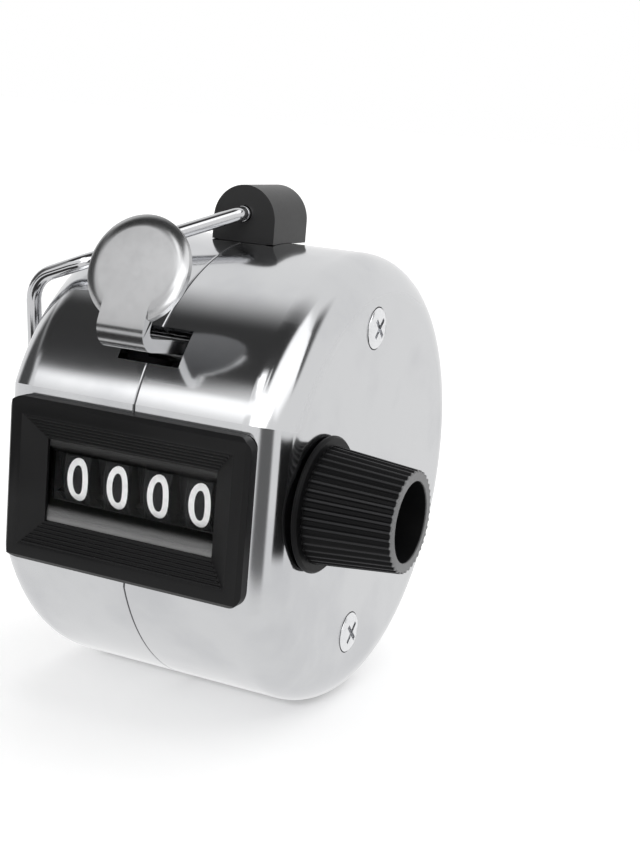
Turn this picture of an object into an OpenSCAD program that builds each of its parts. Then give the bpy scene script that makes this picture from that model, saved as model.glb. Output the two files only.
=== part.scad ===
// Hand tally counter: a round bright case with a thumb lever, four number wheels,
// a reset knob on the side and a folding finger ring on top.
// X runs along the wheel shaft towards the knob, Y runs from the window to the back, Z is up.
// Z = 0 is the narrow flat that the case rests on.

/* [Case] */
// Radius of the round case
case_r = 22.5; // [22:0.25:24]
// Width of the case between its flat sides
case_w = 30; // [29:0.5:34]
// Rounding of the case edges
edge_r = 4; // [2.5:0.25:4.25]
// Thickness of the case wall
wall = 1.3; // [1:0.1:1.4]
// How far the flat front is cut back from the round
front_drop = 1.7; // [1.4:0.1:2]
// Half width of the flat that the case rests on
base_half = 3.2; // [2:0.2:4]
// Depth of the groove along the seam of the two case halves
seam_d = 0.15; // [0.1:0.05:0.25]

/* [Window] */
// Width of the window frame
bezel_w = 25.2; // [24.8:0.1:25.6]
// Height of the window frame
bezel_h = 15.5; // [15:0.1:15.8]
// How far the window frame stands out of the flat front
bezel_out = 1.4; // [1.1:0.1:2]
// Width of the clear opening of the window
window_w = 17.9; // [17:0.1:18.5]
// Height of the clear opening of the window
window_h = 7.9; // [7:0.1:8.4]
// Thickness of the lens
lens_t = 0.6; // [0.4:0.05:0.7]

/* [Number wheels] */
// Radius of the number wheels
wheel_r = 7.4; // [7.2:0.1:7.6]
// Distance from one number wheel to the next
wheel_pitch = 4.35; // [4.25:0.05:4.45]
// Width of the printed rim of a wheel
rim_w = 2.8; // [2.6:0.05:2.9]
// Radius of the shaft that the wheels turn on
shaft_r = 1.5; // [1.3:0.05:1.6]
// Height of the shaft above the middle of the case
shaft_z = 0.5; // [0:0.1:0.8]
// Depth of the ratchet teeth
tooth_d = 0.9; // [0.8:0.05:1]

/* [Lever] */
// Angle that the lever turns when pressed
lever_stroke = 13; // [12.5:0.25:13.5]
// Width of the lever strip
lever_w = 4.7; // [4:0.1:5]
// Thickness of the lever strip
lever_t = 1.2; // [1:0.1:1.3]
// Radius of the round thumb paddle
paddle_r = 5; // [4.6:0.1:5.4]
// Backward lean of the paddle
paddle_lean = 22; // [16:1:26]

/* [Knob] */
// Length of the ribbed grip
grip_len = 8.3; // [7:0.1:11]
// Radius of the grip next to the flange
grip_r1 = 5.5; // [5.2:0.1:6]
// Radius of the grip at its end
grip_r2 = 4.7; // [4.5:0.1:5.1]
// Radius of the knob flange
flange_r = 6.4; // [6.1:0.1:6.6]
// Number of ribs round the grip
rib_count = 40; // [30:1:48]

/* [Finger ring] */
// Radius of the ring wire
wire_r = 0.75; // [0.6:0.05:0.8]
// Length of the lug that holds the ring
lug_len = 7.2; // [6.6:0.1:8]
// Width of the lug
lug_w = 6.8; // [6:0.1:7.4]
// Height of the lug above the case
lug_h = 5.45; // [5.2:0.05:6.5]
// Length of the ring legs beside the case
leg_len = 19; // [14:0.5:24]

/* [Hidden] */
$fn = 64;

// Clearances shared by all the fits
run_gap = 0.05;
fix_gap = 0.02;
small = 0.01;
// Case
half_w = case_w / 2;
in_r = case_r - wall;
in_half = half_w - wall;
in_edge = edge_r - wall;
axis_z = sqrt(case_r * case_r - base_half * base_half);
flat_y = front_drop - case_r;
// Window
neck_w = bezel_w - 3.8;
neck_h = bezel_h - 3.9;
hopper_w = bezel_w - 3;
hopper_h = bezel_h - 2.9;
bezel_y = flat_y - bezel_out;
window_y = flat_y - 0.1;
ledge_y = window_y + 0.35;
mask_y = ledge_y + lens_t;
seat_rim = 1.3;
bezel_corner = 1.3;
bezel_soft = 0.4;
rib_rows = 6;
rib_r = 0.12;
seat_w = window_w + seat_rim;
seat_h = window_h + seat_rim;
mask_t = 0.15;
mask_w = window_w - 0.4;
mask_h = 4.6;
mask_z = shaft_z - 0.1;
// Number wheels
step_angle = 36;
wheel_front = 1.2;
shaft_y = flat_y + wheel_front + wheel_r;
wheel_gap = 0.15;
ratchet_w = wheel_pitch - rim_w - wheel_gap;
tip_r = wheel_r - 0.8;
root_r = tip_r - tooth_d;
deep_r = root_r - 1;
hub_r = shaft_r + 1.5;
recess_d = 1.2;
pickup_angle = 60;
key_w = 0.8;
key_d = 0.6;
// Frame
plate_t = 1.1;
plate_in = 1.5 * wheel_pitch + rim_w / 2 + ratchet_w + 0.275;
plate_out = plate_in + plate_t;
plate_r = in_r - 0.6;
plate_front = flat_y + 2.2;
plate_back = 8;
tie_r = 1.2;
rear_pos = [6.6, 4];
lower_pos = [5, -10];
bush_r = shaft_r + 0.9;
bush_flange_r = bush_r + 0.8;
bush_flange_t = 0.6;
// Screws through the case sides into the frame
screw_y = -2.4;
screw_dz = 15.3;
screw_r = 1;
screw_head_r = 2;
screw_head_t = 0.9;
head_out = 0.35;
head_soft = 0.45;
cross_w = 0.45;
cross_len = 2.4;
cross_d = 0.6;
boss_r = 3;
// Lever
pivot_depth = 3.2;
pivot_angle = 136.5;
pivot = (case_r - pivot_depth) * [cos(pivot_angle), sin(pivot_angle)];
pin_r = 1;
lever_hub_r = 1.6;
lever_reach = 9.86;
lever_rise = 1.25;
lever_corner = pivot + [-lever_reach, lever_rise];
lever_bend = 1.3;
bend_steps = 24;
paddle_up = [sin(paddle_lean), cos(paddle_lean)];
paddle_mid = lever_corner + (paddle_r + 1.65) * paddle_up;
neck_end = lever_corner + 4 * paddle_up;
paddle_soft = 1.3;
paddle_tilt = 36;
paddle_round = paddle_soft / sin(paddle_tilt);
paddle_edge = 0.2;
slot_angle = 142.4;
slot_w = 6.4;
slot_h = 3.9;
// The inner arm lifts the pawl by one tooth for one stroke
hook_r = tip_r - 0.4;
arm_in = hook_r * sin(step_angle / 2) / sin(lever_stroke / 2);
joint = pivot + arm_in * [cos(lever_stroke / 2), -sin(lever_stroke / 2)];
joint_r = 0.7;
eye_r = 1.5;
// Drive pawl
ear_gap = 0.2;
ear_w = 2;
finger_w = 1;
finger_t = 0.9;
finger_top = shaft_z - tip_r * sin(step_angle / 2) - 0.06;
finger_step = tooth_d + 0.15;
units_tip = shaft_y + root_r;
web_t = 1.2;
web_foot = [shaft_y + wheel_r + 2.4, finger_top - finger_t / 2];
web_dir = (joint - web_foot) / norm(joint - web_foot);
web_top = joint - 2.7 * web_dir;
web_mid = web_foot + 5 * web_dir;
// Lever return spring
coil_r = 1.5;
coil_wire = 0.22;
coil_pitch = 0.9;
coil_x = lever_w / 2 + 0.55;
peg_r = 0.5;
peg_along = 5.5;
peg = pivot + peg_along * (joint - pivot) / arm_in;
leg_point = peg - pivot + [0, peg_r + coil_wire + 0.04];
coil_start = atan2(leg_point[1], leg_point[0]) + acos(coil_r / norm(leg_point));
coil_end = 296 + 3 * 360;
tail_dir = [-sin(coil_end), cos(coil_end)];
tail_len = 8;
tail_root = coil_r * [cos(coil_end), sin(coil_end)];
upper_pos = pivot + tail_root + 7 * tail_dir
    + (tie_r + coil_wire + 0.04) * [-tail_dir[1], tail_dir[0]];
// Detent spring
detent_t = 0.3;
detent_y0 = flat_y + 2.8;
detent_y1 = detent_y0 + 1.8;
detent_z = shaft_z - tip_r - 2.1;
detent_tip = [shaft_y - 0.22, shaft_z - tip_r + 0.45];
// Finger ring, folded down over the left shoulder of the case
lug_y = 1;
lug_base = case_r - 0.08;
lug_top = case_r + lug_h;
lug_stem = 4;
ring_z = case_r + 2.65;
ring_in = 2.6;
ring_step = 0.03;
ring_a = [0, -lug_len / 2 - wire_r - 0.2, ring_z];
// Below the knee the legs stand off the case, so that a finger can catch the loop
leg_lean = 7;
leg_knee = 7;
leg_out = 15;
leg_way = [-sin(leg_out), cos(leg_out) * sin(leg_lean), -cos(leg_out) * cos(leg_lean)];
ring_b = [-half_w + 3.9, -case_r * 0.662, case_r * 0.871];
ring_c = [-half_w - 1.5, -case_r * 0.662, case_r * 0.775];
ring_k = ring_c + leg_knee * [0, sin(leg_lean), -cos(leg_lean)];
ring_d = ring_k + (leg_len - leg_knee) * leg_way;
// Reset shaft and knob
knob_gap = 0.2;
flange_t = 0.6;
flange_soft = 0.2;
knob_x = half_w + knob_gap;
grip_x = knob_x + flange_t;
knob_end = grip_x + grip_len;
knob_hub_r = shaft_r + 1.4;
knob_hub_x = plate_out + bush_flange_t + 0.4;
recess_floor = grip_x + 1.7;
recess_r = grip_r2 - 0.95;
shaft_left = -plate_out - 1.7;
clip_x = -plate_out - 1.2;
clip_t = 0.5;
knob_screw_r = 0.75;
knob_screw_len = 4;
knob_head_r = 2.3;
knob_head_t = 1.2;
rib_h = 0.22;

black = [0.06, 0.06, 0.065];
bright = [0.82, 0.83, 0.85];
steel = [0.62, 0.63, 0.65];
brassy = [0.78, 0.66, 0.36];

function unit(v) = v / norm(v);
function wheel_x(i) = (i - 1.5) * wheel_pitch;
function strip_x(i) = wheel_x(i) - rim_w / 2 - ratchet_w / 2;
function polar(r, a) = r * [cos(a), sin(a)];
function mirror_y(p) = [p[0], -p[1], p[2]];

// Points along a circle from one angle through a turn
function arc(centre, r, from, turn, n) = [for (k = [0 : n]) centre + polar(r, from + turn * k / n)];

function reversed(p) = [for (i = [len(p) - 1 : -1 : 0]) p[i]];

// Points round a bend in space at corner b, on the way from a to c
function corner_arc(a, b, c, rb, n) = let (d1 = unit(b - a), d2 = unit(c - b), turn = acos(d1 * d2),
    inward = cross(unit(cross(d1, d2)), d1), centre = b - d1 * rb * tan(turn / 2) + inward * rb)
        [for (k = [0 : n]) centre + rb * (sin(turn * k / n) * d1 - cos(turn * k / n) * inward)];

module lift() translate([0, 0, axis_z]) children();

module bar_x(r, x0, x1, pos) translate([x0, pos[0], pos[1]]) rotate([0, 90, 0])
    cylinder(r = r, h = x1 - x0);

module block(low, high) translate(low) cube(high - low);

// A side outline in Y and Z made as thick as x0 to x1
module plate_x(x0, x1) translate([x0, 0, 0]) rotate([90, 0, 90]) linear_extrude(x1 - x0) children();

// A front outline in X and Z made as deep as y0 to y1
module plate_y(y0, y1) translate([0, y1, 0]) rotate([90, 0, 0]) linear_extrude(y1 - y0) children();

module revolve_x() rotate([0, 90, 0]) rotate_extrude() children();

module round_rect(w, h, r) {
    square([w - 2 * r, h], center = true);
    square([w, h - 2 * r], center = true);
    for (x = [-1, 1], y = [-1, 1]) translate([x * (w / 2 - r), y * (h / 2 - r)]) circle(r);
}

module rod(a, b, r) {
    v = b - a;
    translate(a) rotate([0, acos(v[2] / norm(v)), atan2(v[1], v[0])]) cylinder(r = r, h = norm(v));
}

// A straight piece of flat strip, seen from the side
module run(a, b, t) translate(a) rotate(atan2(b[1] - a[1], b[0] - a[0]))
    translate([0, -t / 2]) square([norm(b - a), t]);

// A bent strip from a to c round corner b, seen from the side
module bent_strip(a, b, c, rb, t) {
    d1 = unit(b - a);
    d2 = unit(c - b);
    turn = acos(d1 * d2);
    side = sign(d1[0] * d2[1] - d1[1] * d2[0]);
    left1 = [-d1[1], d1[0]] * t / 2;
    left2 = [-d2[1], d2[0]] * t / 2;
    centre = b - d1 * rb * tan(turn / 2) + side * rb * [-d1[1], d1[0]];
    from = atan2(d1[1], d1[0]) - side * 90;
    left = arc(centre, rb - side * t / 2, from, side * turn, bend_steps);
    right = arc(centre, rb + side * t / 2, from, side * turn, bend_steps);
    polygon(concat([a + left1], left, [c + left2, c - left2], reversed(right), [a - left1]));
}

// Round body with rounded edges and a flat front
module drum(r, hw, e, fy) intersection() {
    revolve_x() {
        translate([0, -hw]) square([r - e, 2 * hw]);
        translate([0, e - hw]) square([r, 2 * (hw - e)]);
        for (s = [-1, 1]) translate([r - e, s * (hw - e)]) circle(e);
    }
    linear_extrude(3 * r, center = true) {
        translate([e - hw, fy]) square([2 * (hw - e), 2 * r]);
        translate([-hw, fy + e]) square([2 * hw, 2 * r]);
        for (s = [-1, 1]) translate([s * (hw - e), fy + e]) circle(e);
    }
}

module seam_groove() {
    revolve_x()
        polygon([[case_r + seam_d, -2 * seam_d], [case_r + seam_d, 2 * seam_d], [case_r - seam_d, 0]]);
    linear_extrude(2 * case_r, center = true)
        polygon([[-2 * seam_d, flat_y - seam_d], [2 * seam_d, flat_y - seam_d], [0, flat_y + seam_d]]);
}

module case_shell() difference() {
    drum(case_r, half_w, edge_r, flat_y);
    drum(in_r, in_half, in_edge, flat_y + wall);
    block([-case_w, -case_r, -2 * case_r], [case_w, case_r, -axis_z]);
    block([-neck_w / 2 - fix_gap, flat_y - 1, -neck_h / 2 - fix_gap],
        [neck_w / 2 + fix_gap, flat_y + 3, neck_h / 2 + fix_gap]);
    rotate([slot_angle, 0, 0])
        block([-slot_w / 2, in_r - 3, -slot_h / 2], [slot_w / 2, case_r + 3, slot_h / 2]);
    block([-lug_stem / 2 - fix_gap, lug_y - lug_stem / 2 - fix_gap, in_r - 3],
        [lug_stem / 2 + fix_gap, lug_y + lug_stem / 2 + fix_gap, case_r + 3]);
    seam_groove();
}

function screw_pos(s) = [screw_y, shaft_z + s * screw_dz];

// One case half, on the left for side -1 and on the right for side 1
module case_half(side) difference() {
    union() {
        intersection() {
            case_shell();
            block([side < 0 ? -case_w : 0, -2 * case_r, -2 * case_r],
                [side < 0 ? 0 : case_w, 2 * case_r, 2 * case_r]);
        }
        for (s = [-1, 1]) side_bar(side, boss_r, plate_out, half_w - wall / 2, screw_pos(s));
    }
    for (s = [-1, 1]) {
        side_bar(side, screw_r + 0.1, plate_out - 1, half_w + 1, screw_pos(s));
        side_bar(side, screw_head_r + 0.1, half_w - screw_head_t, half_w + 1, screw_pos(s));
    }
}

// A bar between two distances from the middle, on one side
module side_bar(side, r, from, to, pos) bar_x(r, side < 0 ? -to : from, side < 0 ? -from : to, pos);

module left_case() color(bright) lift() case_half(-1);

module right_case() color(bright) lift() difference() {
    case_half(1);
    bar_x(knob_hub_r + 0.1, in_half - 1, half_w + 1, [shaft_y, shaft_z]);
}

// A cross-headed screw above and below the middle, with the edge of its head rounded off
module screw_pair(side) for (s = [-1, 1]) difference() {
    union() {
        side_bar(side, screw_r, plate_in - 0.6, half_w - screw_head_t + small, screw_pos(s));
        translate([0, screw_pos(s)[0], screw_pos(s)[1]]) revolve_x()
            polygon([for (p = head_outline()) [p[0], side * (half_w + p[1])]]);
    }
    for (a = [45, 135])
        translate([side * (half_w + head_out), screw_pos(s)[0], screw_pos(s)[1]]) rotate([a, 0, 0])
            cube([2 * cross_d, cross_w, cross_len], center = true);
}

function head_outline() = [[0, -screw_head_t], [screw_head_r, -screw_head_t], [screw_head_r, 0.05],
    [screw_head_r - head_soft / 3, head_out * 0.65], [screw_head_r - head_soft, head_out], [0, head_out]];

module left_screws() color(bright) lift() screw_pair(-1);

module right_screws() color(bright) lift() screw_pair(1);

module hopper() intersection() {
    plate_x(-bezel_w, bezel_w)
        polygon([[bezel_y - small, -hopper_h / 2], [window_y, -window_h / 2],
            [window_y, window_h / 2], [bezel_y - small, hopper_h / 2]]);
    linear_extrude(2 * bezel_h, center = true)
        polygon([[-hopper_w / 2, bezel_y - small], [hopper_w / 2, bezel_y - small],
            [window_w / 2, window_y], [-window_w / 2, window_y]]);
}

// Ribs along the upper and lower slopes of the window frame
module hopper_ribs() for (s = [-1, 1], i = [1 : rib_rows]) {
    f = i / (rib_rows + 1);
    len_x = window_w + f * (hopper_w - window_w) - 0.3;
    bar_x(rib_r, -len_x / 2, len_x / 2,
        [window_y - f * (window_y - bezel_y), s * (window_h + f * (hopper_h - window_h)) / 2]);
}

// Outline of the rim with its front edges cut off at a slant
function rim_profile(h) = [[flat_y, -h / 2], [bezel_y + bezel_soft, -h / 2], [bezel_y, bezel_soft - h / 2],
    [bezel_y, h / 2 - bezel_soft], [bezel_y + bezel_soft, h / 2], [flat_y, h / 2]];

module bezel_rim() intersection() {
    plate_y(bezel_y - 1, flat_y + 1) round_rect(bezel_w, bezel_h, bezel_corner);
    plate_x(-bezel_w, bezel_w) polygon(rim_profile(bezel_h));
    linear_extrude(2 * bezel_h, center = true) polygon([for (p = rim_profile(bezel_w)) [p[1], p[0]]]);
}

module window_bezel() color(black) lift() {
    difference() {
        union() {
            bezel_rim();
            plate_y(flat_y - small, flat_y + wall + 0.1) square([neck_w, neck_h], center = true);
        }
        hopper();
        block([-window_w / 2, bezel_y, -window_h / 2], [window_w / 2, flat_y + 3, window_h / 2]);
        block([-seat_w / 2, ledge_y, -seat_h / 2], [seat_w / 2, flat_y + 3, seat_h / 2]);
    }
    hopper_ribs();
}

// A sheet that fits the seat behind the window
module seat_sheet(from, to) plate_y(from, to)
    square([seat_w - 2 * fix_gap, seat_h - 2 * fix_gap], center = true);

module window_lens() color([0.85, 0.9, 0.92, 0.35]) lift() seat_sheet(ledge_y, ledge_y + lens_t);

// Black sheet behind the lens that leaves one row of figures to be seen
module figure_mask() color(black) lift() difference() {
    seat_sheet(mask_y, mask_y + mask_t);
    block([-mask_w / 2, mask_y - 1, mask_z - mask_h / 2], [mask_w / 2, mask_y + 1, mask_z + mask_h / 2]);
}

module ring_lug() color(black) lift() difference() {
    union() {
        plate_y(lug_y - lug_len / 2, lug_y + lug_len / 2) {
            translate([-lug_w / 2, lug_base]) square([lug_w, lug_top - lug_w / 2 - lug_base]);
            translate([0, lug_top - lug_w / 2]) circle(lug_w / 2);
        }
        block([-lug_stem / 2, lug_y - lug_stem / 2, in_r - 1.5],
            [lug_stem / 2, lug_y + lug_stem / 2, lug_base + 1]);
        block([-lug_stem / 2 - 1.2, lug_y - lug_stem / 2 - 0.8, in_r - 1.6],
            [lug_stem / 2 + 1.2, lug_y + lug_stem / 2 + 0.8, in_r - 0.5]);
    }
    difference() {
        block([-lug_w, -2 * lug_len, case_r - 3], [lug_w, 2 * lug_len, case_r + fix_gap]);
        block([-lug_stem / 2, lug_y - lug_stem / 2, in_r - 4],
            [lug_stem / 2, lug_y + lug_stem / 2, case_r + 4]);
        block([-lug_w, -2 * lug_len, in_r - 4], [lug_w, 2 * lug_len, in_r - 0.4]);
        block([-lug_w, lug_y - lug_len, case_r - 0.2], [lug_w, lug_y + lug_len, case_r + 4]);
    }
    difference() {
        bar_x(case_r + fix_gap, -lug_w, lug_w, [0, 0]);
        bar_x(in_r - 0.3, -2 * lug_w, 2 * lug_w, [0, 0]);
        block([-lug_stem / 2, lug_y - lug_stem / 2, in_r - 4],
            [lug_stem / 2, lug_y + lug_stem / 2, case_r + 4]);
    }
    for (s = [-1, 1])
        rod([0, lug_y + s * (lug_len / 2 - ring_in - 0.2), ring_z], [0, lug_y + s * lug_len, ring_z],
            wire_r + run_gap);
}

// The wire is one bent length: round pivots in the lug, two arms, two legs and the bar at the bottom
ring_start = [0, -lug_len / 2 + ring_in, ring_z];
ring_bends = concat(
    corner_arc(ring_start, ring_a, ring_b, 1.2, 8),
    corner_arc(ring_a, ring_b, ring_c, 3, 6),
    corner_arc(ring_b, ring_c, ring_k, 3.2, 8),
    corner_arc(ring_c, ring_k, ring_d, 6, 4),
    corner_arc(ring_k, ring_d, mirror_y(ring_d), 3, 10));
ring_ref = [0.9, 0, -0.44];
ring_first = ring_bends[0];
ring_last = ring_bends[len(ring_bends) - 1];

module finger_ring() color(bright) lift() translate([0, lug_y, 0]) {
    front = concat([ring_first + [0, 0.3, 0]], ring_bends, [ring_last + [0, 0.3, 0]]);
    back = [for (p = reversed(front)) mirror_y(p)];
    rod(ring_start, ring_first, wire_r);
    rod(mirror_y(ring_first), mirror_y(ring_start), wire_r);
    rod(ring_last, mirror_y(ring_last), wire_r);
    swept_wire(front, wire_r - ring_step, 24, ring_ref);
    swept_wire(back, wire_r - ring_step, 24, ring_ref);
}

// Side plate of the movement, with its holes
module frame_plate(side) difference() {
    plate_x(side < 0 ? -plate_out : plate_in, side < 0 ? -plate_in : plate_out) intersection() {
        circle(plate_r);
        translate([plate_front, -case_r]) square([plate_back - plate_front, 2 * case_r]);
    }
    bar_x(bush_r + fix_gap, -case_w, case_w, [shaft_y, shaft_z]);
    bar_x(pin_r + fix_gap, -case_w, case_w, pivot);
    for (p = [upper_pos, rear_pos, lower_pos]) bar_x(tie_r + fix_gap, -case_w, case_w, p);
    for (s = [-1, 1]) bar_x(screw_r + run_gap, -case_w, case_w, screw_pos(s));
}

module left_plate() color(steel) lift() frame_plate(-1);

module right_plate() color(steel) lift() frame_plate(1);

module tie(pos) bar_x(tie_r, -plate_out, plate_out, pos);

module upper_tie() color(steel) lift() tie(upper_pos);

module rear_tie() color(steel) lift() tie(rear_pos);

module lower_tie() color(steel) lift() tie(lower_pos);

module detent_bar() color(steel) lift() difference() {
    block([-plate_in, detent_y0, detent_z - 1.2], [plate_in, detent_y1, detent_z]);
    detent_holes(0.5 + fix_gap);
}

function detent_x(s) = (strip_x(1) + strip_x(2)) / 2 + s * wheel_pitch;

module detent_holes(r) for (s = [-1, 1])
    translate([detent_x(s), (detent_y0 + detent_y1) / 2, detent_z - 3]) cylinder(r = r, h = 6);

// A leaf with one finger resting behind a ratchet tooth of each wheel
module detent_spring() color(steel) lift() difference() {
    union() {
        block([strip_x(0) - finger_w / 2, detent_y0, detent_z],
            [strip_x(3) + finger_w / 2, detent_y1, detent_z + detent_t]);
        for (i = [0 : 3]) plate_x(strip_x(i) - 0.45, strip_x(i) + 0.45)
            run([detent_y1 - 0.3, detent_z + detent_t / 2], detent_tip, detent_t);
    }
    detent_holes(0.5 + fix_gap);
}

module detent_rivets() color(brassy) lift() for (s = [-1, 1])
    translate([detent_x(s), (detent_y0 + detent_y1) / 2, 0]) {
        translate([0, 0, detent_z - 1.2]) cylinder(r = 0.5, h = 1.2 + detent_t + small);
        translate([0, 0, detent_z + detent_t]) cylinder(r = 0.8, h = 0.4);
    }

module lever_pin() color(steel) lift() bar_x(pin_r, -plate_out, plate_out, pivot);

// Outline of half the paddle: flat in the middle, rounded off towards the rim
function paddle_outline() = concat([[0, -lever_t / 2], [paddle_r - paddle_edge, -lever_t / 2]],
    [[paddle_r, paddle_edge - lever_t / 2]],
    [for (i = [bend_steps / 2 : -1 : 0]) let (a = 2 * paddle_tilt * i / bend_steps)
        [paddle_r - paddle_soft + paddle_round * sin(a), lever_t / 2 - paddle_round * (1 - cos(a))]],
    [[0, lever_t / 2]]);

module paddle() translate([0, paddle_mid[0], paddle_mid[1]]) rotate([90 - paddle_lean, 0, 0])
    rotate_extrude() polygon(paddle_outline());

module thumb_lever() color(bright) lift() {
    difference() {
        plate_x(-lever_w / 2, lever_w / 2) {
            bent_strip(neck_end, lever_corner, pivot, lever_bend, lever_t);
            run(pivot, joint, lever_t);
            translate(pivot) circle(lever_hub_r);
            translate(joint) circle(eye_r);
        }
        bar_x(pin_r + run_gap, -lever_w, lever_w, pivot);
        bar_x(joint_r + fix_gap, -lever_w, lever_w, joint);
    }
    paddle();
    bar_x(peg_r, lever_w / 2 - small, coil_x + 0.8, peg);
}

// Points along the return spring: a leg, the turns round the pin and the tail
coil_turn = coil_end - coil_start;
coil_steps = ceil(coil_turn / 45);
function coil_point(a) = [coil_x + coil_pitch * (a - coil_start) / 360,
    pivot[0] + coil_r * cos(a), pivot[1] + coil_r * sin(a)];
leg_dir = [-sin(coil_start), cos(coil_start)];
leg_run = norm(leg_point - polar(coil_r, coil_start)) + 0.7;
coil_path = concat(
    [coil_point(coil_start) - leg_run * [0, leg_dir[0], leg_dir[1]]],
    [for (i = [0 : coil_steps]) coil_point(coil_start + coil_turn * i / coil_steps)],
    [coil_point(coil_end) + tail_len * [0, tail_dir[0], tail_dir[1]]]);
coil_gap = min([for (i = [1 : coil_steps - 8]) norm(coil_path[i + 8] - coil_path[i])]) - 2 * coil_wire;
echo(coil_gap = coil_gap);

function path_dir(p, i) = unit(p[min(i + 1, len(p) - 1)] - p[max(i - 1, 0)]);

// A round wire swept along a path that never runs in the direction ref
module swept_wire(p, r, sides, ref) {
    points = [for (i = [0 : len(p) - 1], k = [0 : sides - 1])
        let (t = path_dir(p, i), u = unit(cross(t, ref)), v = cross(t, u))
            p[i] + r * (cos(360 * k / sides) * u + sin(360 * k / sides) * v)];
    walls = [for (i = [0 : len(p) - 2], k = [0 : sides - 1])
        let (n = (k + 1) % sides, at = i * sides, up = at + sides)
            each [[at + k, up + k, up + n], [at + k, up + n, at + n]]];
    first = [for (k = [0 : sides - 1]) k];
    final = [for (k = [sides - 1 : -1 : 0]) (len(p) - 1) * sides + k];
    polyhedron(points, concat(walls, [first, final]));
}

module lever_spring() color(steel) lift() swept_wire(coil_path, coil_wire, 6, [1, 0, 0]);

module pawl_pin() color(steel) lift()
    bar_x(joint_r, -lever_w / 2 - ear_gap - ear_w - 0.2, lever_w / 2 + ear_gap + ear_w + 0.2, joint);

// Four fingers in steps: the units finger is in its ratchet, and each next one stands further off
module drive_pawl() color(steel) lift() {
    plate_x(strip_x(0) - finger_w / 2, strip_x(3) + finger_w / 2) run(web_foot, web_top, web_t);
    for (i = [0 : 3])
        block([strip_x(i) - finger_w / 2, units_tip + (3 - i) * finger_step, finger_top - finger_t],
            [strip_x(i) + finger_w / 2, web_foot[0] + web_t / 2, finger_top]);
    for (s = [-1, 1]) translate([s * (lever_w / 2 + ear_gap + ear_w / 2), 0, 0]) difference() {
        plate_x(-ear_w / 2, ear_w / 2) {
            run(web_mid, joint, web_t);
            translate(joint) circle(eye_r - 0.1);
        }
        bar_x(joint_r + run_gap, -ear_w, ear_w, joint);
    }
}

// A leaf on the rear tie that presses the pawl towards the wheels
module pawl_spring() color(steel) lift() {
    leaf_t = 0.3;
    aim = web_foot + 6.2 * web_dir + (web_t / 2 + 0.2) * [web_dir[1], -web_dir[0]];
    away = rear_pos - aim;
    seat = tie_r + leaf_t / 2 + fix_gap;
    rise = atan2(away[1], away[0]) + asin(seat / norm(away));
    root = aim + (sqrt(away * away - seat * seat) + 0.8) * [cos(rise), sin(rise)];
    plate_x(strip_x(1), strip_x(2)) run(root, aim, leaf_t);
}

module bush(side) difference() {
    union() {
        side_bar(side, bush_r, plate_in, plate_out + small, [shaft_y, shaft_z]);
        side_bar(side, bush_flange_r, plate_out, plate_out + bush_flange_t, [shaft_y, shaft_z]);
    }
    bar_x(shaft_r + run_gap, -case_w, case_w, [shaft_y, shaft_z]);
}

module left_bush() color(brassy) lift() bush(-1);

module right_bush() color(brassy) lift() bush(1);

// Wheel shaft with a long key groove, a clip groove and a tapped end
module reset_shaft() color(steel) lift() difference() {
    bar_x(shaft_r, shaft_left, recess_floor - 0.1, [shaft_y, shaft_z]);
    translate([0, shaft_y, shaft_z]) rotate([pickup_angle, 0, 0])
        block([-plate_in + 0.4, shaft_r - key_d, -key_w / 2], [plate_in - 0.4, shaft_r + 1, key_w / 2]);
    translate([0, shaft_y, shaft_z]) difference() {
        bar_x(shaft_r + 1, clip_x, clip_x + clip_t + 0.06, [0, 0]);
        bar_x(shaft_r - 0.4, clip_x - 1, clip_x + 1, [0, 0]);
    }
    bar_x(knob_screw_r + fix_gap, recess_floor - knob_screw_len, recess_floor + 1, [shaft_y, shaft_z]);
}

module shaft_clip() color(steel) lift() translate([0, shaft_y, shaft_z]) difference() {
    bar_x(shaft_r + 1, clip_x + 0.03, clip_x + 0.03 + clip_t, [0, 0]);
    bar_x(shaft_r - 0.4 + fix_gap, clip_x - 1, clip_x + 2, [0, 0]);
    block([clip_x - 1, -shaft_r + 0.5, -case_r], [clip_x + 2, shaft_r - 0.5, 0]);
}

module wheel_collar() color(brassy) lift() difference() {
    bar_x(hub_r, wheel_x(3) + rim_w / 2 + 0.1, plate_in - 0.1, [shaft_y, shaft_z]);
    bar_x(shaft_r + fix_gap, 0, case_w, [shaft_y, shaft_z]);
}

// Ten ratchet teeth. One gap is deeper, and lets the next finger of the pawl drop in
function ratchet_points() = [for (k = [0 : 9]) each [
    polar(tip_r, step_angle * (k - 0.5)),
    polar(k == 0 ? deep_r : root_r, step_angle * (k + 0.5))]];

module number_wheel(i) color(black) lift() translate([wheel_x(i), shaft_y, shaft_z]) {
    soft = 0.12;
    difference() {
        union() {
            revolve_x() polygon([[0, -rim_w / 2], [wheel_r - soft, -rim_w / 2], [wheel_r, soft - rim_w / 2],
                [wheel_r, rim_w / 2 - soft], [wheel_r - soft, rim_w / 2], [0, rim_w / 2]]);
            plate_x(-rim_w / 2 - ratchet_w, -rim_w / 2 + small) polygon(ratchet_points());
        }
        bar_x(shaft_r + run_gap, -case_w, case_w, [0, 0]);
        difference() {
            bar_x(wheel_r - 1, rim_w / 2 - recess_d, rim_w, [0, 0]);
            bar_x(hub_r, 0, case_w, [0, 0]);
        }
        rotate([pickup_angle, 0, 0])
            block([rim_w / 2 - recess_d, 0, -key_w / 2], [rim_w, hub_r + 1, key_w / 2]);
    }
}

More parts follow.
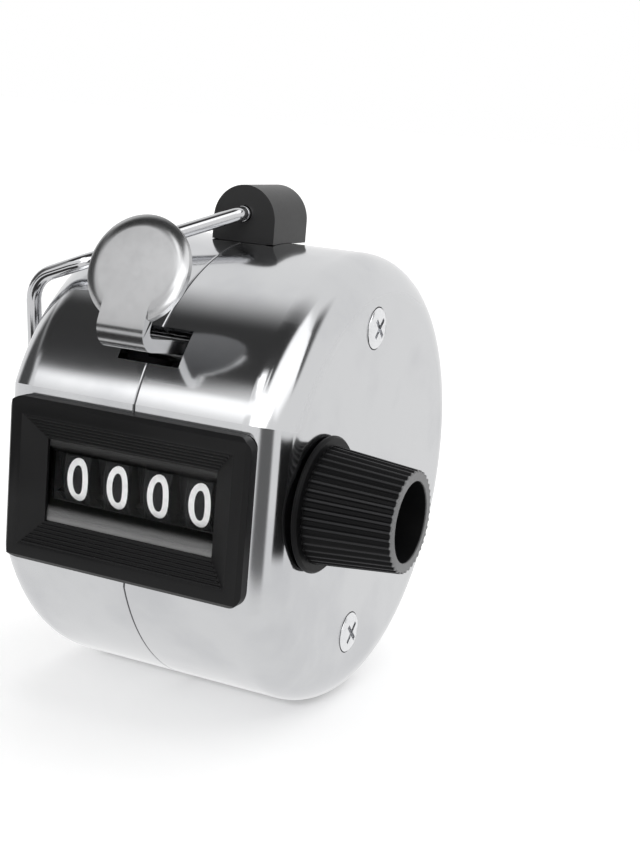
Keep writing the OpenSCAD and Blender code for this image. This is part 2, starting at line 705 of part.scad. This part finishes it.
// A small spring catch in the wheel, with its nose in the key groove of the shaft
module pickup(i) color(brassy) lift() translate([wheel_x(i), shaft_y, shaft_z])
    rotate([pickup_angle, 0, 0]) {
    x0 = rim_w / 2 - recess_d + run_gap;
    x1 = rim_w / 2 - 0.2;
    block([x0, shaft_r - key_d + 0.15, -0.28], [x1, hub_r + 0.9, 0.28]);
    block([x0, hub_r + 0.4, -0.28], [x1, hub_r + 0.9, 3.2]);
}

module thousands_wheel() number_wheel(0);

module hundreds_wheel() number_wheel(1);

module tens_wheel() number_wheel(2);

module units_wheel() number_wheel(3);

module thousands_pickup() pickup(0);

module hundreds_pickup() pickup(1);

module tens_pickup() pickup(2);

module units_pickup() pickup(3);

function rib_points() = [for (k = [0 : rib_count - 1]) let (s = 360 / rib_count) each [
    polar(grip_r1 - rib_h, s * (k - 0.3)), polar(grip_r1, s * (k - 0.12)),
    polar(grip_r1, s * (k + 0.12)), polar(grip_r1 - rib_h, s * (k + 0.3))]];

module reset_knob() color(black) lift() translate([0, shaft_y, shaft_z]) difference() {
    union() {
        bar_x(knob_hub_r, knob_hub_x, knob_x + small, [0, 0]);
        revolve_x() polygon([[0, knob_x], [flange_r - flange_soft, knob_x],
            [flange_r, knob_x + flange_soft], [flange_r, grip_x - flange_soft],
            [flange_r - flange_soft, grip_x], [0, grip_x]]);
        translate([grip_x - small, 0, 0]) rotate([0, 90, 0])
            linear_extrude(grip_len + small, scale = grip_r2 / grip_r1) polygon(rib_points());
    }
    bar_x(shaft_r + fix_gap, 0, recess_floor + 1, [0, 0]);
    translate([recess_floor, 0, 0]) rotate([0, 90, 0])
        cylinder(r1 = recess_r - 0.25, r2 = recess_r, h = knob_end - recess_floor + small);
}

module knob_screw() color(steel) lift() translate([0, shaft_y, shaft_z]) difference() {
    union() {
        bar_x(knob_screw_r, recess_floor - knob_screw_len + 0.4, recess_floor + small, [0, 0]);
        bar_x(knob_head_r, recess_floor, recess_floor + knob_head_t, [0, 0]);
    }
    for (a = [0, 90]) translate([recess_floor + knob_head_t, 0, 0]) rotate([a, 0, 0])
        cube([1.4, 0.6, 2.8], center = true);
}

left_case();
right_case();
window_bezel();
window_lens();
figure_mask();
left_screws();
right_screws();
ring_lug();
finger_ring();
left_plate();
right_plate();
upper_tie();
rear_tie();
lower_tie();
detent_bar();
detent_spring();
detent_rivets();
lever_pin();
thumb_lever();
lever_spring();
pawl_pin();
drive_pawl();
pawl_spring();
left_bush();
right_bush();
reset_shaft();
shaft_clip();
wheel_collar();
thousands_wheel();
hundreds_wheel();
tens_wheel();
units_wheel();
thousands_pickup();
hundreds_pickup();
tens_pickup();
units_pickup();
reset_knob();
knob_screw();
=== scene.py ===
import math
import bpy
import bmesh
from mathutils import Matrix, Vector


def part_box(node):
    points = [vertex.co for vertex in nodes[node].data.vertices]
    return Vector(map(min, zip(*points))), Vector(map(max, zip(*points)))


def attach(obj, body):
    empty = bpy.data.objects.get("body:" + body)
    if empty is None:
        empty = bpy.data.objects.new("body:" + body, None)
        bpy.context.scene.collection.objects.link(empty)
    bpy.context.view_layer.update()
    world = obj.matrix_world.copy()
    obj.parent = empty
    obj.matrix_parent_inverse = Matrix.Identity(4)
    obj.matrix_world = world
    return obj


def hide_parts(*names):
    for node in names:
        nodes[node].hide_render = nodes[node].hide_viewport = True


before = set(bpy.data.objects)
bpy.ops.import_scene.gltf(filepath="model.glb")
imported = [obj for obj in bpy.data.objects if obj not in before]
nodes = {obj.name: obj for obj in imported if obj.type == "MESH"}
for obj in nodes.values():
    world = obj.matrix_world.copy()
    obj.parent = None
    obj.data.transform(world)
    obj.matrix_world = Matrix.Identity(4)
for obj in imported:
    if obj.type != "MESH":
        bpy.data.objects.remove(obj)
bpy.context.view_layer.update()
scene = bpy.context.scene
scene.view_settings.view_transform = "Standard"
mm = 0.001
white = (1, 1, 1, 1)
print("frame loaded:", len(nodes), "nodes")


class Val:
    # a number on its way to a shader, with the sums that the finishes use
    def __init__(self, finish, socket):
        self.finish = finish
        self.socket = socket

    def sum(self, operation, first, second):
        made = self.finish.node("ShaderNodeMath", {"operation": operation}, {0: first, 1: second})
        return Val(self.finish, made.outputs[0])

    def __add__(self, other):
        return self.sum("ADD", self, other)

    __radd__ = __add__

    def __sub__(self, other):
        return self.sum("SUBTRACT", self, other)

    def __rsub__(self, other):
        return self.sum("SUBTRACT", other, self)

    def __mul__(self, other):
        return self.sum("MULTIPLY", self, other)

    __rmul__ = __mul__


class Finish:
    # the nodes of one material, or of the room, and the few ways of adding to them
    def __init__(self, name, home=bpy.data.materials, out="ShaderNodeOutputMaterial"):
        self.mat = home.new(name)
        self.mat.use_nodes = True
        self.tree = self.mat.node_tree
        self.tree.nodes.clear()
        self.out = self.node(out)

    def node(self, kind, settings=None, sockets=None):
        made = self.tree.nodes.new(kind)
        for key, value in (settings or {}).items():
            if key == "stops":
                ramp = made.color_ramp
                ramp.interpolation = "EASE"
                while len(ramp.elements) < len(value):
                    ramp.elements.new(0.5)
                for element, (at, shade) in zip(ramp.elements, value):
                    element.position = at
                    element.color = (shade, shade, shade, 1)
            else:
                setattr(made, key, value)
        for key, value in (sockets or {}).items():
            self.feed(made.inputs[key], value)
        return made

    def feed(self, socket, value):
        if isinstance(value, Val):
            self.tree.links.new(value.socket, socket)
        elif hasattr(value, "is_linked"):
            self.tree.links.new(value, socket)
        else:
            socket.default_value = value

    def show(self, shader):
        self.feed(self.out.inputs[0], shader.outputs[0])

    def place(self, axis=None, kind="Object"):
        spot = self.node("ShaderNodeTexCoord").outputs[kind]
        if axis is None:
            return spot
        return Val(self, self.node("ShaderNodeSeparateXYZ", None, {0: spot}).outputs[axis])

    def noise(self, size, detail, stretch=(1, 1, 1)):
        # size is the width of a blotch in millimetres
        spot = self.node("ShaderNodeMapping", None, {"Vector": self.place(), "Scale": stretch})
        sockets = {"Vector": spot.outputs[0], "Scale": 1 / (size * mm), "Detail": detail}
        return Val(self, self.node("ShaderNodeTexNoise", None, sockets).outputs[0])

    def ramp(self, value, stops):
        return Val(self, self.node("ShaderNodeValToRGB", {"stops": stops}, {0: value}).outputs[0])

    def blend(self, amount, first, second):
        shades = [c + (1,) if isinstance(c, tuple) else c for c in (first, second)]
        made = self.node("ShaderNodeMix", {"data_type": "RGBA"}, {0: amount, 6: shades[0], 7: shades[1]})
        return made.outputs[2]

    def bump(self, height, depth, strength):
        # depth in millimetres
        sockets = {"Height": height, "Distance": depth * mm, "Strength": strength}
        return self.node("ShaderNodeBump", None, sockets).outputs[0]

    def vector(self, operation, first, second=(0, 0, 0)):
        return self.node("ShaderNodeVectorMath", {"operation": operation}, {0: first, 1: second}).outputs

    def seen(self, *kinds):
        # one on the given kinds of ray
        path = self.node("ShaderNodeLightPath")
        total = Val(self, path.outputs["Is " + kinds[0] + " Ray"])
        for kind in kinds[1:]:
            total = total.sum("MAXIMUM", total, path.outputs["Is " + kind + " Ray"])
        return total

    def principled(self, **values):
        sockets = {key.replace("_", " "): value for key, value in values.items()}
        return self.node("ShaderNodeBsdfPrincipled", None, sockets)


# In the looks, a noise is its width in millimetres, detail and stretch, and a bump is its depth in
# millimetres and strength. A pair for rough is the least and what the noise adds.
caseLook = {
    "pale": (0.61, 0.615, 0.625), "dull": (0.55, 0.555, 0.57), "seamDark": (0.12, 0.12, 0.125),
    "handled": (9, 4), "handledStops": [(0.4, 0), (0.7, 1)], "buffed": (0.5, 2, (14, 1, 1)), "waves": (11, 1),
    "rough": 0.1, "handledRough": 0.03, "buffedRough": 0.02, "seamRough": 0.3, "bump": (0.05, 0.25),
    "seam": 0.1, "seamStops": [(0.3, 1), (1.0, 0)],  # half the groove's width in millimetres, and its edge
}


def caseChrome():
    f = Finish("caseChrome")
    handled = f.ramp(f.noise(*caseLook["handled"]), caseLook["handledStops"])
    buffed = f.noise(*caseLook["buffed"])
    across = f.place(0) * (1 / (caseLook["seam"] * mm))
    seam = f.ramp(across * across, caseLook["seamStops"])  # darker in the groove between the halves
    clean = f.blend(handled, caseLook["pale"], caseLook["dull"])
    worn = caseLook["rough"] + handled * caseLook["handledRough"] + buffed * caseLook["buffedRough"]
    f.show(f.principled(
        Base_Color=f.blend(seam, clean, caseLook["seamDark"]),
        Metallic=1.0,
        Roughness=worn + seam * caseLook["seamRough"],
        Normal=f.bump(f.noise(*caseLook["waves"]), *caseLook["bump"]),
    ))
    return f.mat


# back is a painted shade: the darker colour of the lever's side that faces the case
leverLook = {
    "pale": (0.435, 0.437, 0.442), "dull": (0.415, 0.417, 0.422), "back": (0.21, 0.212, 0.217),
    "rubbed": (1.1, 4), "rubbedStops": [(0.3, 0), (0.8, 1)], "backStops": [(0.55, 0), (0.7, 1)],
    "rough": 0.21, "rubbedRough": 0.015, "backRough": 0.2, "grain": (0.8, 2), "bump": (0.001, 0.2),
}


def leverChrome():
    f = Finish("leverChrome")
    rubbed = f.ramp(f.noise(*leverLook["rubbed"]), leverLook["rubbedStops"])
    facing = f.place(1, "Normal") * 0.5 + 0.5
    back = f.ramp(facing, leverLook["backStops"])  # painted shade on the side that faces the case, which is also rougher
    front = f.blend(rubbed, leverLook["pale"], leverLook["dull"])
    f.show(f.principled(
        Base_Color=f.blend(back, front, leverLook["back"]),
        Metallic=1.0,
        Roughness=leverLook["rough"] + rubbed * leverLook["rubbedRough"] + back * leverLook["backRough"],
        Normal=f.bump(f.noise(*leverLook["grain"]), *leverLook["bump"]),
    ))
    return f.mat


# finishes with two shades and one grain, where tint is the noise of the shades if the grain isn't
plainLooks = {
    "wireChrome": {
        "shades": ((0.64, 0.64, 0.65), (0.54, 0.545, 0.56)), "metal": 1.0, "tint": (4, 3),
        "grain": (0.25, 2, (1, 0.08, 0.08)), "rough": (0.05, 0.06), "bump": (0.006, 0.3),
    },
    "screwChrome": {
        "shades": ((0.86, 0.865, 0.875), (0.7, 0.705, 0.72)), "metal": 1.0,
        "grain": (0.5, 3), "rough": (0.12, 0.16), "bump": (0.015, 0.3),
    },
    "wheelBlack": {
        "shades": ((0.006, 0.006, 0.0065), (0.013, 0.013, 0.014)), "sheen": 0.12, "tint": (3, 3),
        "grain": (0.3, 3, (6, 1, 1)), "rough": (0.42, 0.16), "bump": (0.008, 0.3),
    },
    "figureInk": {
        "shades": ((0.9, 0.895, 0.885), (0.78, 0.775, 0.77)), "stops": [(0.35, 0), (0.75, 1)],
        "grain": (0.45, 4), "rough": (0.5, 0.2), "bump": (0.006, 0.4),
    },
    "innerSteel": {
        "shades": ((0.5, 0.505, 0.515), (0.38, 0.385, 0.395)), "metal": 1.0,
        "grain": (0.4, 3, (1, 5, 5)), "rough": (0.26, 0.2), "bump": (0.01, 0.3),
    },
    "innerBrass": {
        "shades": ((0.66, 0.48, 0.2), (0.5, 0.35, 0.13)), "metal": 1.0,
        "grain": (0.5, 3), "rough": (0.24, 0.2), "bump": (0.01, 0.3),
    },
}


def plainFinish(name):
    look = plainLooks[name]
    f = Finish(name)
    grain = f.noise(*look["grain"])
    if "stops" in look:
        grain = f.ramp(grain, look["stops"])
    tint = f.noise(*look["tint"]) if "tint" in look else grain
    f.show(f.principled(
        Base_Color=f.blend(tint, *look["shades"]),
        Metallic=look.get("metal", 0.0),
        Roughness=look["rough"][0] + grain * look["rough"][1],
        Specular_IOR_Level=look.get("sheen", 0.5),
        Normal=f.bump(grain, *look["bump"]),
    ))
    return f.mat


plasticLook = {
    "deep": (0.0045, 0.0045, 0.005), "worn": (0.009, 0.009, 0.0095), "flow": (6, 3), "flowRough": 0.08,
    "speckDetail": 3, "speckRough": 0.08, "bump": (0.012, 0.35),
}
mouldLooks = {
    "frameBlack": {"rough": 0.34, "speck": 0.35, "sheen": 0.2},
    "knobBlack": {"rough": 0.33, "speck": 0.3, "sheen": 0.09},
    "lugBlack": {"rough": 0.32, "speck": 0.4, "sheen": 0.5},
}


def mouldedBlack(name, highlightsAndRim=None):
    look = mouldLooks[name]
    f = Finish(name)
    flow = f.noise(*plasticLook["flow"])
    speck = f.noise(look["speck"], plasticLook["speckDetail"])
    colour = f.blend(flow, plasticLook["deep"], plasticLook["worn"])
    f.show(f.principled(
        Base_Color=highlightsAndRim(f, colour) if highlightsAndRim else colour,
        Roughness=look["rough"] + flow * plasticLook["flowRough"] + speck * plasticLook["speckRough"],
        Specular_IOR_Level=look["sheen"],
        Normal=f.bump(speck, *plasticLook["bump"]),
    ))
    return f.mat


# the ribbed cone from its start to its end, along and across the knob in millimetres, and its two pale
# places: the painted highlight on the rib crests, whose colour is worn, and the end rim
gripLook = {
    "start": 15.9, "thick": 5.5, "end": 24.1, "thin": 4.7, "rib": 0.22, "worn": (0.034, 0.034, 0.0355),
    "crestStops": [(0.8, 0), (1.0, 1)], "startStops": [(0.0, 0), (0.3, 1)],
    "rim": (0.24, 0.24, 0.243), "rimWide": 0.2, "rimStops": [(0.0, 0), (0.15, 1)],
}


# paints a highlight along each rib's crest, and colours the end rim pale grey
def gripWear(f, colour):
    low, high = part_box("reset_knob")
    axis = (0, (low[1] + high[1]) / 2, (low[2] + high[2]) / 2)
    spot = f.vector("SUBTRACT", f.place(), axis)[0]
    across = f.vector("MULTIPLY", spot, (0, 1 / mm, 1 / mm))[0]
    away = Val(f, f.vector("LENGTH", across)["Value"])
    along = f.place(0) * (1 / mm) - gripLook["start"]
    long = gripLook["end"] - gripLook["start"]
    taper = (gripLook["thick"] - gripLook["thin"]) / long
    rise = (away + along * taper - gripLook["thick"]) * (1 / gripLook["rib"]) + 1
    crestHighlight = f.ramp(rise, gripLook["crestStops"]) * f.ramp(along, gripLook["startStops"])  # painted highlight along each rib's crest
    rim = f.ramp(along - (long - gripLook["rimWide"]), gripLook["rimStops"])
    return f.blend(rim, f.blend(crestHighlight, colour, gripLook["worn"]), gripLook["rim"])


# heights and fades in millimetres, and the painted reflection's strengths as shares of the grey shader that
# paints it
lensLook = {
    "tint": (0.98, 0.985, 0.99), "smears": (5, 3), "rough": (0.02, 0.03), "bend": 1.14,
    "reflectionDull": (0.62, 0.62, 0.62), "reflectionPale": (0.74, 0.74, 0.74), "reflectionRough": 0.4,
    "bottom": 18.3, "lowFade": 1.7, "lowReflection": 0.45, "kneeAt": 0.45, "kneeReflection": 0.55,
    "top": 26.2, "topFade": 1.1, "topReflection": 0.1,
}


def lensClear():
    f = Finish("lensClear")
    smears = f.noise(*lensLook["smears"])
    clear = f.principled(
        Base_Color=lensLook["tint"] + (1,),
        Roughness=lensLook["rough"][0] + smears * lensLook["rough"][1],
        IOR=lensLook["bend"],
        Transmission_Weight=1.0,
    )
    # a pale grey shader that paints the reflection seen near the lens's edges
    paintedReflection = f.principled(
        Base_Color=f.blend(smears, lensLook["reflectionDull"], lensLook["reflectionPale"]),
        Roughness=lensLook["reflectionRough"],
    )
    # painted reflection: the pale grey shader is mixed into the clear sheet towards its lower and upper edges
    height = f.place(2) * (1 / mm)
    reflectionShare = lensLook["lowReflection"]
    low = f.ramp((height - lensLook["bottom"]) * (1 / lensLook["lowFade"]),
                 [(0.0, reflectionShare), (lensLook["kneeAt"], reflectionShare * lensLook["kneeReflection"]), (1.0, 0)])
    high = f.ramp((lensLook["top"] - height) * (1 / lensLook["topFade"]),
                  [(0.0, lensLook["topReflection"]), (1.0, 0)])
    f.show(f.node("ShaderNodeMixShader", None, {0: low + high, 1: clear.outputs[0], 2: paintedReflection.outputs[0]}))
    return f.mat


finishes = {
    "caseChrome": (caseChrome(), ["left_case", "right_case"]),
    "leverChrome": (leverChrome(), ["thumb_lever"]),
    "wireChrome": (plainFinish("wireChrome"), ["finger_ring"]),
    "screwChrome": (plainFinish("screwChrome"), ["left_screws", "right_screws", "knob_screw"]),
    "frameBlack": (mouldedBlack("frameBlack"), ["window_bezel"]),
    "knobBlack": (mouldedBlack("knobBlack", gripWear), ["reset_knob"]),
    "lugBlack": (mouldedBlack("lugBlack"), ["ring_lug"]),
    "wheelBlack": (plainFinish("wheelBlack"), ["figure_mask", "units_wheel", "tens_wheel",
                                               "hundreds_wheel", "thousands_wheel"]),
    "lensClear": (lensClear(), ["window_lens"]),
    "innerBrass": (plainFinish("innerBrass"), ["detent_rivets", "left_bush", "right_bush", "wheel_collar",
                                               "units_pickup", "tens_pickup", "hundreds_pickup",
                                               "thousands_pickup"]),
}
steel = plainFinish("innerSteel")  # on every node that isn't named above
coats = {name: mat for mat, names in finishes.values() for name in names}
for name, solid in nodes.items():
    solid.data.materials.clear()
    solid.data.materials.append(coats.get(name, steel))
print("finishes on", len(nodes), "nodes")


def addMesh(name, bm, mat):
    mesh = bpy.data.meshes.new(name)
    bm.to_mesh(mesh)
    bm.free()
    mesh.materials.append(mat)
    made = bpy.data.objects.new(name, mesh)
    scene.collection.objects.link(made)
    return made


def newPiece(name, bm, mat, body):
    piece = addMesh(name, bm, mat)
    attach(piece, body)
    return piece


# millimetres within which corners join, degrees within which faces join, and steps across a broken edge
smoothSpec = {"join": 0.002, "flat": 0.2, "steps": 2}


def smoothCopy(node, name, mat, body, sharp, soft):
    # the same shape with its triangles joined: round wherever it turns by less than sharp degrees,
    # and with the edges that stay broken by soft millimetres
    bm = bmesh.new()
    bm.from_mesh(nodes[node].data)
    bmesh.ops.remove_doubles(bm, verts=bm.verts, dist=smoothSpec["join"] * mm)
    flat = math.radians(smoothSpec["flat"])
    bmesh.ops.dissolve_limit(bm, angle_limit=flat, verts=bm.verts, edges=bm.edges)
    for edge in bm.edges:
        edge.smooth = edge.calc_face_angle(0.0) < math.radians(sharp)
    for face in bm.faces:
        face.smooth = True
    piece = newPiece(name, bm, mat, body)
    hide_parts(node)
    if soft:
        edges = piece.modifiers.new("softEdges", "BEVEL")
        edges.width = soft * mm
        edges.segments = smoothSpec["steps"]
        edges.limit_method = "ANGLE"
        edges.angle_limit = math.radians(sharp)
        edges.harden_normals = True


# for each node: the new piece's name, finish, body and slot, sharp in degrees and soft in millimetres
copySpec = {
    "finger_ring": ("ringWire", "wireChrome", "ring", "chrome", 40, 0),
    "thumb_lever": ("thumbLever", "leverChrome", "lever", "chrome", 28, 0.1),
    "window_bezel": ("windowFrame", "frameBlack", "case", "gloss_black", 30, 0.08),
    "ring_lug": ("ringLug", "lugBlack", "case", "gloss_black", 30, 0.15),
    "reset_knob": ("resetKnob", "knobBlack", "reset", "gloss_black", 30, 0.04),
    "left_screws": ("leftScrews", "screwChrome", "case", "chrome", 30, 0.04),
    "right_screws": ("rightScrews", "screwChrome", "case", "chrome", 30, 0.04),
}
for node, (name, finish, body, slot, sharp, soft) in copySpec.items():
    smoothCopy(node, name, finishes[finish][0], body, sharp, soft)
print("edges softened on", len(copySpec), "pieces")

# millimetres, with step and shift in degrees round the wheel and bold as a share of the type's size
figureSpec = {
    "tall": 4.2, "wide": 2.3, "oneWide": 0.65, "inset": 1.2, "lift": 0.015, "step": 36, "shift": -2.1,
    "bold": 0.012, "roundness": 5, "cuts": 14, "cutSnap": 0.0001,
}
wheelBodies = ["thousands", "hundreds", "tens", "units"]


def flatFigure(digit):
    # one printed figure, lying in X and Y, middle at zero, in metres
    curve = bpy.data.curves.new("figure", "FONT")
    curve.body = str(digit)
    curve.resolution_u = figureSpec["roundness"]
    curve.offset = figureSpec["bold"]
    maker = bpy.data.objects.new("figure", curve)
    scene.collection.objects.link(maker)
    bpy.context.view_layer.update()
    mesh = bpy.data.meshes.new_from_object(maker.evaluated_get(bpy.context.evaluated_depsgraph_get()))
    bm = bmesh.new()
    bm.from_mesh(mesh)
    bpy.data.objects.remove(maker)
    bpy.data.curves.remove(curve)
    bpy.data.meshes.remove(mesh)
    xs = [v.co.x for v in bm.verts]
    ys = [v.co.y for v in bm.verts]
    middle = Vector(((min(xs) + max(xs)) / 2, (min(ys) + max(ys)) / 2, 0))
    wide = figureSpec["oneWide" if digit == 1 else "wide"] * mm
    tall = figureSpec["tall"] * mm
    size = Vector((wide / (max(xs) - min(xs)), tall / (max(ys) - min(ys)), 1))
    bmesh.ops.translate(bm, verts=bm.verts, vec=-middle)
    bmesh.ops.scale(bm, verts=bm.verts, vec=size)
    # cut across, so that it can bend round the wheel
    for i in range(1, figureSpec["cuts"]):
        level = (i / figureSpec["cuts"] - 0.5) * tall
        everything = bm.verts[:] + bm.edges[:] + bm.faces[:]
        bmesh.ops.bisect_plane(bm, geom=everything, plane_co=(0, level, 0), plane_no=(0, 1, 0),
                               dist=figureSpec["cutSnap"] * mm)
    return bm


def wheelFigures(body):
    low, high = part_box(body + "_wheel")
    radius = (high[1] - low[1]) / 2
    axisY, axisZ = (low[1] + high[1]) / 2, (low[2] + high[2]) / 2
    rimMiddle = high[0] - figureSpec["inset"] * mm
    out = radius + figureSpec["lift"] * mm
    ring = bmesh.new()
    for digit in range(10):
        bm = flatFigure(digit)
        for v in bm.verts:
            turn = v.co.y / radius + math.radians(figureSpec["step"] * digit + figureSpec["shift"])
            v.co = (rimMiddle + v.co.x, axisY - out * math.cos(turn), axisZ + out * math.sin(turn))
        part = bpy.data.meshes.new("part")
        bm.to_mesh(part)
        bm.free()
        ring.from_mesh(part)
        bpy.data.meshes.remove(part)
    for face in ring.faces:
        face.smooth = True
    newPiece(body + "Figures", ring, figureMat, body)


figureMat = plainFinish("figureInk")
for body in wheelBodies:
    wheelFigures(body)
print("figures printed on", len(wheelBodies), "wheels")

# millimetres, with the camera's three directions in between
cameraSpec = {
    "place": (67.3, -129.01, 56.861),
    "right": (0.9003, 0.427, 0.0842),
    "up": (-0.164, 0.1537, 0.9744),
    "back": (0.4031, -0.8911, 0.2084),
    "lens": 60.46,
    "sensor": 36,
    "nearest": 5,
}
camData = bpy.data.cameras.new("studioCamera")
camData.sensor_fit = "VERTICAL"
camData.sensor_height = cameraSpec["sensor"]
camData.lens = cameraSpec["lens"]
camData.clip_start = cameraSpec["nearest"] * mm
camera = bpy.data.objects.new("studioCamera", camData)
scene.collection.objects.link(camera)
turned = Matrix((cameraSpec["right"], cameraSpec["up"], cameraSpec["back"])).transposed().to_4x4()
camera.matrix_world = Matrix.Translation(Vector(cameraSpec["place"]) * mm) @ turned
scene.camera = camera

roomSpec = {"shown": 1.0, "ambient": 0.55}
room = Finish("studioRoom", bpy.data.worlds, "ShaderNodeOutputWorld")
direct = room.seen("Camera", "Glossy", "Transmission")
strength = direct * (roomSpec["shown"] - roomSpec["ambient"]) + roomSpec["ambient"]
room.show(room.node("ShaderNodeBackground", None, {0: white, 1: strength}))
scene.world = room.mat


def flatSheet(name, size, mat):
    bm = bmesh.new()
    bmesh.ops.create_grid(bm, x_segments=1, y_segments=1, size=size / 2)
    return addMesh(name, bm, mat)


floorSpec = {"size": 40.0, "colour": 0.9, "glow": 0.3, "mirrored": 0.07}


def paleFloor():
    f = Finish("floorPale")
    matte = f.node("ShaderNodeBsdfDiffuse", None, {0: (floorSpec["colour"],) * 3 + (1,)})
    glow = f.seen("Camera", "Transmission") * floorSpec["glow"] + f.seen("Glossy") * floorSpec["mirrored"]
    lit = f.node("ShaderNodeEmission", None, {0: white, 1: glow})
    f.show(f.node("ShaderNodeAddShader", None, {0: matte.outputs[0], 1: lit.outputs[0]}))
    floor = flatSheet("studioFloor", floorSpec["size"], f.mat)


paleFloor()

# boards that only the metal and the gloss see, glowing and dark sheets that paint light and shade into their
# reflections, in metres and degrees, with how soft the two ends of each side are as shares of that side
boardSpec = {
    "darkOverhead": {
        "middle": (-0.73, -0.26, 0.92), "size": (1.94, 1.08), "turn": (0, 0, 0), "shade": 0.05,
        "softX": (0.3, 0.015), "softY": (0.14, 0.4),
    },
    "darkSlant": {
        "middle": (-0.739, -0.69, 0.915), "size": (1.1, 0.56), "turn": (0, 0, 41), "shade": 0.05,
        "softX": (0.3, 0.3), "softY": (0.34, 0.3),
    },
    "brightFront": {
        "middle": (-0.5, -1.14, 0.92), "size": (1.5, 0.36), "turn": (0, 0, 0), "shade": 1.8,
        "softX": (0.2, 0.1), "softY": (0.3, 0.1),
    },
    "brightRight": {
        "middle": (0.4, -1.4, 0.93), "size": (1.5, 1.2), "turn": (0, 0, 0), "shade": 3.2,
        "softX": (0.2, 0.2), "softY": (0.2, 0.15),
    },
    "brightLow": {
        "middle": (0.62, -1.6, 0.42), "size": (0.9, 0.9), "turn": (90, 0, 0), "shade": 3.2,
        "softX": (0.2, 0.2), "softY": (0.1, 0.1),
    },
    "brightEdge": {
        "middle": (-0.19, -0.73, 0.9), "size": (0.36, 0.36), "turn": (0, 0, 0), "shade": 2.6,
        "softX": (0.3, 0.3), "softY": (0.3, 0.3),
    },
    "brightSliver": {
        "middle": (0.06, -0.74, 0.905), "size": (0.09, 0.5), "turn": (0, 0, 0), "shade": 1.5,
        "softX": (0.2, 0.2), "softY": (0.3, 0.4),
    },
    "brightStrip": {
        "middle": (1.08, -0.45, 0.925), "size": (1.64, 1.2), "turn": (0, 0, 0), "shade": 1.7,
        "softX": (0.02, 0.4), "softY": (0.2, 0.1),
    },
    "darkStrip": {
        "middle": (1.27, 0.165, 0.915), "size": (1.7, 0.45), "turn": (0, 0, -17), "shade": 0.1,
        "softX": (0.2, 0.4), "softY": (0.12, 0.65),
    },
    "darkLeft": {
        "middle": (-1.1, -0.27, 0.42), "size": (1.3, 0.85), "turn": (90, 0, 90), "shade": 0.1,
        "softX": (0.25, 0.25), "softY": (0.08, 0.3),
    },
    "darkRight": {
        "middle": (0.0421, -0.0595, 0.02), "size": (0.04, 0.04), "turn": (90, 0, 41.5), "shade": 0.16,
        "softX": (0.25, 0.18), "softY": (0.02, 0.35),
    },
    "darkFront": {
        "middle": (-0.036, -0.076, 0.034), "size": (0.09, 0.026), "turn": (90, 0, -34), "shade": 0.05,
        "softX": (0.2, 0.25), "softY": (0.3, 0.3),
    },
    "darkBelow": {
        "middle": (-0.0225, -0.04, 0.02), "size": (0.037, 0.028), "turn": (0, 0, 0), "shade": 0.05,
        "softX": (0.15, 0.1), "softY": (0.1, 0.1),
    },
    # knobShade paints a dark reflection of the knob in the case beside it
    "knobShade": {
        "middle": (0.0246, -0.01835, 0.0214), "size": (0.0081, 0.0128), "turn": (90, 0, 90), "shade": 0.01,
        "softX": (0.06, 0.01), "softY": (0.12, 0.05),
    },
    # paleCard glows evenly around and under the object, so that its reflections show no floor shadow
    "paleCard": {
        "middle": (0.02, 0.0, 0.0006), "size": (0.5, 0.5), "turn": (0, 0, 0), "shade": 0.98,
        "softX": (0.3, 0.3), "softY": (0.3, 0.3),
    },
}


def studioBoard(name, spec):
    f = Finish(name)
    lit = f.node("ShaderNodeEmission", None, {0: white, 1: spec["shade"]})
    gone = f.node("ShaderNodeBsdfTransparent")
    cover = [f.ramp(f.place(axis) + 0.5, [(0, 0), (soft[0], 1), (1 - soft[1], 1), (1, 0)])
             for axis, soft in enumerate((spec["softX"], spec["softY"]))]
    shaders = {0: cover[0] * cover[1], 1: gone.outputs[0], 2: lit.outputs[0]}
    f.show(f.node("ShaderNodeMixShader", None, shaders))
    board = flatSheet(name, 1, f.mat)
    board.location = spec["middle"]
    board.rotation_euler = [math.radians(angle) for angle in spec["turn"]]
    board.scale = (spec["size"][0], spec["size"][1], 1)
    board.visible_camera = False
    board.visible_diffuse = False
    board.visible_shadow = False
    board.visible_transmission = False


for name, spec in boardSpec.items():
    studioBoard(name, spec)

lampSpec = {
    "softTop": {"from": (0.25, 0.45, 1.0), "angle": 80, "strength": 1.3},
    "softFront": {"from": (-0.5, -1.0, 0.9), "angle": 60, "strength": 0.5},
}
for name, spec in lampSpec.items():
    data = bpy.data.lights.new(name, "SUN")
    data.angle = math.radians(spec["angle"])
    data.energy = spec["strength"]
    lamp = bpy.data.objects.new(name, data)
    scene.collection.objects.link(lamp)
    lamp.rotation_euler = Vector(spec["from"]).to_track_quat("Z", "Y").to_euler()
    lamp.visible_glossy = False
print("studio set up")
